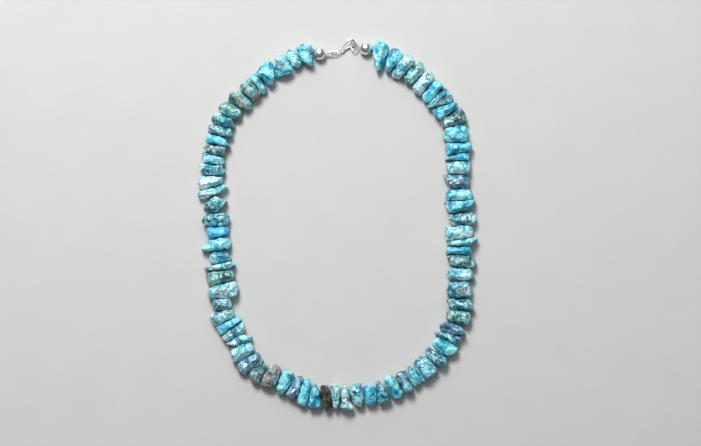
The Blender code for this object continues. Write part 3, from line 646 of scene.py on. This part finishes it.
def wound_tree():
    """Strands wound round a path at an even pitch, each a round wire or ply."""
    tree, given = new_tree("wound_strands", (
        ("Strands", "Int", 3), ("Pitch", "Float", 0.001), ("Wound Radius", "Float", 0.001),
        ("Strand Radius", "Float", 0.001), ("Step", "Float", 0.001), ("Sides", "Int", 8),
        ("Finish", "Material", None)))
    path = add_node(tree, "GeometryNodeResampleCurve", {
        "Curve": given["Geometry"], "Length": given["Step"]}, mode="LENGTH")
    copies = add_node(tree, "GeometryNodeDuplicateElements", {"Geometry": path, "Amount": given["Strands"]},
                      give=None, domain="SPLINE")
    run = add_node(tree, "GeometryNodeSplineParameter", give="Length")
    turns = add_node(tree, "ShaderNodeMath", {0: run, 1: given["Pitch"]}, operation="DIVIDE")
    share = add_node(tree, "ShaderNodeMath", {0: copies[1], 1: given["Strands"]}, operation="DIVIDE")
    turns = add_node(tree, "ShaderNodeMath", {0: turns, 1: share}, operation="ADD")
    angle = add_node(tree, "ShaderNodeMath", {0: turns, 1: 2 * math.pi}, operation="MULTIPLY")
    normal = add_node(tree, "GeometryNodeInputNormal")
    tangent = add_node(tree, "GeometryNodeInputTangent")
    aside = add_node(tree, "ShaderNodeVectorRotate", {"Vector": normal, "Axis": tangent, "Angle": angle},
                     rotation_type="AXIS_ANGLE")
    offset = add_node(tree, "ShaderNodeVectorMath", {0: aside, "Scale": given["Wound Radius"]},
                      operation="SCALE")
    wound = add_node(tree, "GeometryNodeSetPosition", {"Geometry": copies[0], "Offset": offset})
    section = add_node(tree, "GeometryNodeCurvePrimitiveCircle", {
        "Resolution": given["Sides"], "Radius": given["Strand Radius"]})
    skin = add_node(tree, "GeometryNodeCurveToMesh", {
        "Curve": wound, "Profile Curve": section, "Fill Caps": True})
    smooth = add_node(tree, "GeometryNodeSetShadeSmooth", {"Geometry": skin})
    return end_tree(tree, smooth, given["Finish"])


wound = wound_tree()


def wound_piece(name, points, inputs):
    """A piece of strands wound round a path of points."""
    curve = bpy.data.curves.new(name, "CURVE")
    curve.dimensions = "3D"
    spline = curve.splines.new("POLY")
    spline.points.add(len(points) - 1)
    spline.points.foreach_set("co", np.column_stack([points, np.ones(len(points))]).ravel())
    return grown(name, curve, wound, inputs)


thread_stops = np.arange(THREAD_IN_BEAD, route_length - THREAD_IN_BEAD, THREAD_STOP)
thread = wound_piece("thread", [on_route(stop)[0] for stop in thread_stops], {
    "Strands": THREAD_PLIES, "Pitch": THREAD_TWIST, "Wound Radius": THREAD_DIAMETER / 2 - PLY_RADIUS,
    "Strand Radius": PLY_RADIUS, "Step": 0.0004, "Sides": 8, "Finish": waxed_thread()})
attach(thread, "root")


# Silver beads
# Sterling silver, polished: each ball is pressed from sheet in two halves, soldered along a seam round
# its middle, and its holes have a rolled rim. One ends the string on each side.
BEAD_WALL = 0.00035
BORE_DIAMETER = 0.0016
RIM_RADIUS = 0.00016
SEAM_DEPTH = 0.00005
SEAM_WIDTH = 0.00022
BEAD_SEGMENTS = 72
WALL_STEPS = 40
RIM_STEPS = 6
INNER_STEPS = 12
# the inner wall starts this much wider than the bore, so that no two points of the section meet
MOUTH_STEP = 0.00001
CREASE_ANGLE = 35.0
TARNISH_SIZE = 0.0016
SCRATCH_SIZE = 0.0006
SCRATCH_STRETCH = 6.0


def sterling_silver(name, roughness, tarnish):
    """Polished sterling silver: near white metal with fine scratches and a warm grey tarnish in patches."""
    made, tree, place = new_material(name)
    film = add_node(tree, "ShaderNodeTexNoise", {
        "Vector": place, "Scale": 1 / TARNISH_SIZE, "Detail": 4.0, "Roughness": 0.6}, noise_dimensions="4D")
    film = add_node(tree, "ShaderNodeMapRange", {0: film, 1: 0.5, 2: 0.75}, interpolation_type="SMOOTHSTEP")
    film = add_node(tree, "ShaderNodeMath", {0: film, 1: tarnish}, operation="MULTIPLY")
    colour = add_node(tree, "ShaderNodeMix", {0: film, 6: linear("F6F3EF"), 7: linear("A0958A")}, give=2,
                      data_type="RGBA")
    drawn = add_node(tree, "ShaderNodeMapping", {"Vector": place, "Scale": (1.0, SCRATCH_STRETCH, 1.0)})
    marks = add_node(tree, "ShaderNodeTexNoise", {
        "Vector": drawn, "Scale": 1 / SCRATCH_SIZE, "Detail": 4.0, "Roughness": 0.7}, noise_dimensions="4D")
    rubbed = add_node(tree, "ShaderNodeMapRange", {0: marks, 3: roughness * 0.7, 4: roughness * 1.5})
    bump = add_node(tree, "ShaderNodeBump", {"Strength": 0.25, "Distance": 0.00003, "Height": marks})
    fill(tree, tree.nodes["Principled BSDF"], {
        "Base Color": colour, "Roughness": rubbed, "Normal": bump, "Metallic": 1.0})
    return made


polished_silver = sterling_silver("polished_sterling_silver", 0.27, 0.3)
drawn_silver = sterling_silver("drawn_silver_wire", 0.24, 0.15)


def add_piece(name, mesh, finish):
    """Puts a finished mesh in the scene as a piece of its own."""
    mesh.materials.append(finish)
    mesh.shade_smooth()
    mesh.set_sharp_from_angle(angle=math.radians(CREASE_ANGLE))
    piece = bpy.data.objects.new(name, mesh)
    bpy.context.scene.collection.objects.link(piece)
    return piece


def ring_skin(name, rings, closed):
    """A closed skin over rings of equal size, joined to itself or capped at both ends."""
    sides = len(rings[0])
    spans = len(rings) if closed else len(rings) - 1
    faces = []
    for span in range(spans):
        low = span * sides
        high = ((span + 1) % len(rings)) * sides
        faces += [(low + side, low + (side + 1) % sides, high + (side + 1) % sides, high + side)
                  for side in range(sides)]
    if not closed:
        faces.append(tuple(range(sides)))
        faces.append(tuple(range((len(rings) - 1) * sides, len(rings) * sides)))
    mesh = bpy.data.meshes.new(name)
    mesh.from_pydata(np.concatenate(rings).tolist(), [], faces)
    form = bmesh.new()
    form.from_mesh(mesh)
    bmesh.ops.recalc_face_normals(form, faces=form.faces)
    form.to_mesh(mesh)
    form.free()
    return mesh


def bead_profile():
    """The section of a hollow bead from its axis: (forward, width) pairs round the wall and back."""
    radius = BEAD_DIAMETER / 2
    mouth = math.asin((BORE_DIAMETER / 2 + RIM_RADIUS) / radius)
    profile = []
    for angle in np.linspace(mouth, math.pi - mouth, WALL_STEPS + 1):
        dip = SEAM_DEPTH * math.exp(-((angle - math.pi / 2) * radius / SEAM_WIDTH * 2) ** 2)
        profile.append((-(radius - dip) * math.cos(angle), (radius - dip) * math.sin(angle)))
    rim = [(radius * math.cos(mouth) - RIM_RADIUS * (1 - math.cos(angle)),
            BORE_DIAMETER / 2 + RIM_RADIUS * (1 - math.sin(angle)))
           for angle in np.linspace(0, math.pi / 2, RIM_STEPS + 1)[1:]]
    profile += rim
    inner = radius - BEAD_WALL
    inner_mouth = math.asin(BORE_DIAMETER / 2 / inner)
    for angle in np.linspace(math.pi - inner_mouth, inner_mouth, INNER_STEPS + 1):
        profile.append((-inner * math.cos(angle), inner * math.sin(angle) + MOUTH_STEP))
    return profile + [(-forward, width) for forward, width in reversed(rim)]


def spokes(count, first, second):
    """Even steps round a circle or an oval, from its two half axes."""
    turns = np.arange(count) * 2 * math.pi / count
    return np.outer(np.cos(turns), first) + np.outer(np.sin(turns), second)


def silver_bead(name, centre, axis):
    """A hollow ball with its holes along the axis."""
    across = np.cross(axis, UP)
    ways_out = spokes(BEAD_SEGMENTS, across, np.cross(across, axis))
    rings = [centre + axis * forward + ways_out * width for forward, width in bead_profile()]
    piece = add_piece(name, ring_skin(name, rings, True), polished_silver)
    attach(piece, "root")
    return piece


left_bead, left_along, _ = on_route(0.0)
right_bead, right_along, _ = on_route(route_length)
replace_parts(silver_bead("bead_left", left_bead, left_along), "silver_bead_left")
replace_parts(silver_bead("bead_right", right_bead, right_along), "silver_bead_right")


# Oval ring
# Drawn silver wire bent to an oval and soldered shut, with a short stem of the same wire that is
# soldered to it and goes into the right bead.
RING_WIRE = 0.00075
RING_WIDTH = 0.0040
RING_LENGTH = 0.0064
RING_LEVEL = 0.0021
RING_STEM = 0.0013
STEM_WIRE = 0.0008
WIRE_IN_BEAD = BEAD_DIAMETER * 0.2
RING_STATIONS = 72
STEM_STATIONS = 12
WIRE_SIDES = 18
# how much the solder swells the stem at the ring, and over what share of the stem that fades
SOLDER_SWELL = 0.35
SOLDER_REACH = 0.12


def swept_wire(points, widths, closed=False, sides=WIRE_SIDES):
    """Rings along a bent wire, carried round each bend without twisting."""
    points = np.asarray(points)
    ahead = np.roll(points, -1, axis=0) - points if closed else np.gradient(points, axis=0)
    behind = points - np.roll(points, 1, axis=0) if closed else ahead
    ways = ahead + behind
    ways = ways / np.linalg.norm(ways, axis=1)[:, None]
    side_way = np.cross(ways[0], UP)
    rings = []
    for point, way, width in zip(points, ways, widths):
        side_way = side_way - way * (side_way @ way)
        side_way = side_way / np.linalg.norm(side_way)
        rings.append(point + spokes(sides, side_way, np.cross(way, side_way)) * width / 2)
    return rings


def wire_piece(name, points, widths, closed=False, sides=WIRE_SIDES):
    """A piece of bent silver wire, joined to itself or with flat ends."""
    return add_piece(name, ring_skin(name, swept_wire(points, widths, closed, sides), closed), drawn_silver)


def fuse(piece, other):
    """Joins another shape to a piece, as solder does, and removes it."""
    joint = piece.modifiers.new("solder", "BOOLEAN")
    joint.operation = "UNION"
    joint.object = other
    fused = realised(piece, piece.name)
    bpy.data.objects.remove(other, do_unlink=True)
    return fused


left_outlet = left_bead - left_along * BEAD_DIAMETER / 2
right_outlet = right_bead + right_along * BEAD_DIAMETER / 2
ring_half_width = (RING_WIDTH - RING_WIRE) / 2
ring_half_length = (RING_LENGTH - RING_WIRE) / 2
ring_right = right_outlet + right_along * RING_STEM
ring_tilt = math.asin((ring_right[2] - RING_LEVEL) / (2 * ring_half_width))
ring_across = np.array([math.cos(ring_tilt), 0.0, math.sin(ring_tilt)])
ring_centre = ring_right - ring_across * ring_half_width
ring_path = ring_centre + spokes(RING_STATIONS, ring_across * ring_half_width, [0.0, ring_half_length, 0.0])
oval = wire_piece("oval_ring", ring_path, [RING_WIRE] * RING_STATIONS, closed=True)
stem_end = right_outlet - right_along * WIRE_IN_BEAD
stem_shares = np.linspace(0, 1, STEM_STATIONS)
stem_path = ring_right + np.outer(stem_shares, stem_end - ring_right)
stem_widths = STEM_WIRE * (1 + SOLDER_SWELL * np.exp(-(stem_shares / SOLDER_REACH) ** 2))
oval = fuse(oval, wire_piece("stem", stem_path, stem_widths))
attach(oval, "root")
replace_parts(oval, "clasp_ring")


# Hook
# One silver wire: a crimped collar beside the left bead, a straight shank, and a long hook that goes
# over the ring's near side and comes back under it, wrapped with fine wire before its round tip.
HOOK_WIRE = 0.0010
HOOK_LENGTH = 0.0072
HOOK_BAR_SPREAD = 0.0028
HOOK_TIP_DIAMETER = 0.0014
HOOK_TIP_END = 0.12
HOOK_STEPS = 12
SURFACE_CLEARANCE = 0.0001
# the fine wire's coil, which sinks a little into the hook's wire, from the fourth bend before the tip
# to the last one
HOOK_WRAP_DIAMETER = 0.0015
WRAP_WIRE = 0.00034
WRAP_PITCH = 0.00056
WRAP_SEAT = 1.8
WRAP_FIRST_BEND = 4
WRAP_LAST_BEND = 1
HOOK_LOW = HOOK_WRAP_DIAMETER / 2 + SURFACE_CLEARANCE
# the collar, and how far the pliers pinched its middle and rounded its ends
COLLAR_DIAMETER = 0.0015
COLLAR_START = 0.0004
COLLAR_LENGTH = 0.0013
COLLAR_STATIONS = 18
COLLAR_PINCH = 0.13
COLLAR_END = 0.94
# places along the hook as shares of its length from the ring's middle (x, y) and of its rise (z)
HOOK_BENDS = [
    (-0.99, -0.32, 0.84), (-0.80, -0.12, 0.88), (-0.55, 0.17, 0.96), (-0.33, 0.36, 1.00),
    (-0.11, 0.385, 1.02), (-0.01, 0.28, 0.90), (0.01, 0.13, 0.56), (-0.05, 0.00, 0.22),
    (-0.19, -0.10, 0.04), (-0.38, -0.16, 0.00), (-0.60, -0.26, 0.00), (-0.77, -0.42, 0.02),
    (-0.85, -0.53, 0.03),
]
# the straight stretch between the collar and the hook, as shares of the way across it
SHANK_SHARES = [(0.34, 0.36, 0.15), (0.80, 0.50, 0.75)]


def hook_point(x, y, z):
    """A place on the hook, from shares of its length and of its rise."""
    return np.array([ring_centre[0] + x * HOOK_LENGTH, ring_centre[1] + y * HOOK_LENGTH,
                     HOOK_LOW + z * HOOK_BAR_SPREAD])


bends = [hook_point(*bend) for bend in HOOK_BENDS]
collar_far = left_outlet - left_along * (COLLAR_START + COLLAR_LENGTH)
shank_gap = bends[0] - collar_far
shank_knots = [collar_far] + [collar_far + shank_gap * np.array(share) for share in SHANK_SHARES]
hook_path = smooth_curve(shank_knots + bends, HOOK_STEPS)
wrap_first = len(hook_path) - WRAP_FIRST_BEND * HOOK_STEPS - 1
wrap_last = len(hook_path) - WRAP_LAST_BEND * HOOK_STEPS - 1
hook_widths = [HOOK_WIRE] * len(hook_path)
for station in range(wrap_first, len(hook_path)):
    hook_widths[station] = min(HOOK_WIRE, HOOK_WRAP_DIAMETER - WRAP_SEAT * WRAP_WIRE)
tip_reach = np.cumsum(np.linalg.norm(np.diff(hook_path[::-1], axis=0), axis=1))
for station, reach in enumerate([0.0] + list(tip_reach)):
    if reach < HOOK_TIP_DIAMETER:
        ball = HOOK_TIP_DIAMETER * math.sqrt(1 - (reach / HOOK_TIP_DIAMETER * 2 - 1) ** 2)
        narrowest = HOOK_WIRE if reach > HOOK_TIP_DIAMETER / 2 else HOOK_WIRE * HOOK_TIP_END
        hook_widths[-1 - station] = max(ball, narrowest)
collar_shares = np.linspace(0, 1, COLLAR_STATIONS)
collar_line = [left_outlet - left_along * (COLLAR_START + COLLAR_LENGTH * share) for share in collar_shares]
collar_widths = COLLAR_DIAMETER * (1 - COLLAR_PINCH * np.sin(math.pi * collar_shares) ** 2)
collar_widths[[0, -1]] = HOOK_WIRE
collar_widths[[1, -2]] = COLLAR_DIAMETER * COLLAR_END
inside = left_outlet + left_along * WIRE_IN_BEAD
hook_line = [inside, left_outlet] + collar_line[:-1] + list(hook_path)
hook = wire_piece("hook", hook_line, [HOOK_WIRE] * 2 + list(collar_widths[:-1]) + hook_widths)
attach(hook, "root")
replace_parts(hook, "clasp_hook")
wrap = wound_piece("hook_wrap", hook_path[wrap_first:wrap_last + 1], {
    "Strands": 1, "Pitch": WRAP_PITCH, "Wound Radius": (HOOK_WRAP_DIAMETER - WRAP_WIRE) / 2,
    "Strand Radius": WRAP_WIRE / 2, "Step": WRAP_PITCH / 16, "Sides": 10, "Finish": drawn_silver})
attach(wrap, "root")


# Tab
# A small bare plate of polished silver sheet with rounded corners, soldered to an eye of its own, by
# which it hangs on the hook's shank.
TAG_LENGTH = 0.0034
TAG_WIDTH = 0.0027
TAG_THICKNESS = 0.0005
TAG_WIRE = 0.0005
TAG_CLEARANCE = 0.0003
TAG_ANCHOR = 2.0 / 3.0
TAG_CORNER = 0.0004
TAG_EDGE = 0.0001
SHARP_ANGLE = 0.9
EYE_STATIONS = 40
EYE_SIDES = 12
tag_anchor = hook_path[round(TAG_ANCHOR * HOOK_STEPS)]
tag_way = np.array([1.0, 0.0, 0.0])
eye_radius = HOOK_WIRE / 2 + TAG_CLEARANCE + TAG_WIRE / 2
tag_slope = math.asin((tag_anchor[2] - SURFACE_CLEARANCE - TAG_THICKNESS / 2) / (eye_radius + TAG_WIDTH))
tag_down = np.cross(tag_way, UP) * math.cos(tag_slope) - UP * math.sin(tag_slope)
tag_normal = np.cross(tag_way, tag_down)
eye_path = tag_anchor + spokes(EYE_STATIONS, tag_down, tag_normal) * eye_radius
eye = wire_piece("eye", eye_path, [TAG_WIRE] * EYE_STATIONS, True, EYE_SIDES)

corners = np.array([
    tag_anchor + tag_way * (along - TAG_WIRE / 2) + tag_down * (eye_radius + fall)
    for along, fall in ((0, 0), (TAG_LENGTH, 0), (TAG_LENGTH, TAG_WIDTH), (0, TAG_WIDTH))])
half_plate = tag_normal * TAG_THICKNESS / 2
plate = ring_skin("plate", [corners - half_plate, corners + half_plate], False)
form = bmesh.new()
form.from_mesh(plate)
upright = [edge for edge in form.edges if abs(edge.calc_length() - TAG_THICKNESS) < TAG_THICKNESS / 100]
bmesh.ops.bevel(form, geom=upright, offset=TAG_CORNER, segments=4, profile=0.5, affect="EDGES")
sharp = [edge for edge in form.edges if edge.calc_face_angle(0) > SHARP_ANGLE]
bmesh.ops.bevel(form, geom=sharp, offset=TAG_EDGE, segments=2, profile=0.5, affect="EDGES")
form.to_mesh(plate)
form.free()
tab = fuse(add_piece("tab", plate, polished_silver), eye)
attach(tab, "root")
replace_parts(tab, "clasp_tag")


# Surface and light
# A pale matt laminate table under plain studio light: a soft key light from the top of the picture, a
# wide fill overhead, a low light from behind and a weak even world. The camera looks straight down.
PICTURE_WIDTH = 701
PICTURE_HEIGHT = 446
# the photograph's scale on the surface, and where the route's own zero lies in it
PIXEL = 0.0005
ROUTE_ORIGIN_PIXEL = (337.0, 225.0)
CAMERA_HEIGHT = 1.0
SENSOR_WIDTH = 36.0
STRING_LEVEL = 0.005
TABLE_REACH = 12.0
TABLE_GAP = 0.00005
LAMINATE_GRAIN = 0.02
WORLD_STRENGTH = 0.18
# each lamp: its place, the side of its square and its power in watts
LAMPS = {
    "key_light": ((-0.22, 0.66, 0.92), 0.34, 15.0),
    "fill_light": ((0.05, 0.55, 1.15), 1.0, 4.0),
    "back_light": ((0.0, 1.25, 0.42), 0.7, 2.4),
}


def pale_table():
    """Matt laminate: an even pale grey with a barely visible mottle."""
    made, tree, place = new_material("matt_laminate")
    grain = add_node(tree, "ShaderNodeTexNoise", {
        "Vector": place, "Scale": 1 / LAMINATE_GRAIN, "Detail": 3.0}, noise_dimensions="4D")
    colour = add_node(tree, "ShaderNodeValToRGB", {0: grain}, stops=[
        (0.3, linear("BDBCBA")), (0.7, linear("C0BFBD"))])
    fill(tree, tree.nodes["Principled BSDF"], {"Base Color": colour, "Roughness": 0.6})
    return made


table_corners = [(x * TABLE_REACH, y * TABLE_REACH, -TABLE_GAP)
                 for x, y in ((-1, -1), (1, -1), (1, 1), (-1, 1))]
table_mesh = bpy.data.meshes.new("table")
table_mesh.from_pydata(table_corners, [], [(0, 1, 2, 3)])
add_piece("table", table_mesh, pale_table())

picture_middle = (np.array([PICTURE_WIDTH / 2, PICTURE_HEIGHT / 2]) - ROUTE_ORIGIN_PIXEL) * (PIXEL, -PIXEL)
camera_data = bpy.data.cameras.new("camera")
camera_data.sensor_width = SENSOR_WIDTH
camera_data.lens = SENSOR_WIDTH * (CAMERA_HEIGHT - STRING_LEVEL) / (PICTURE_WIDTH * PIXEL)
camera = bpy.data.objects.new("camera", camera_data)
camera.location = (*(picture_middle + loop_shift), CAMERA_HEIGHT)
bpy.context.scene.collection.objects.link(camera)
bpy.context.scene.camera = camera

for name, (place, size, power) in LAMPS.items():
    light = bpy.data.lights.new(name, "AREA")
    light.size = size
    light.energy = power
    lamp = bpy.data.objects.new(name, light)
    lamp.location = place
    lamp.visible_camera = False
    # an area light shines down its own axis, which is turned to the middle of the necklace
    lamp.rotation_euler = (math.atan2(math.hypot(place[0], place[1]), place[2]), 0.0,
                           math.atan2(place[0], -place[1]))
    bpy.context.scene.collection.objects.link(lamp)

world = bpy.data.worlds.new("studio")
world.use_nodes = True
fill(world.node_tree, world.node_tree.nodes["Background"], {
    "Color": linear("E8EEF2"), "Strength": WORLD_STRENGTH})
bpy.context.scene.world = world
bpy.context.scene.view_settings.view_transform = "Standard"
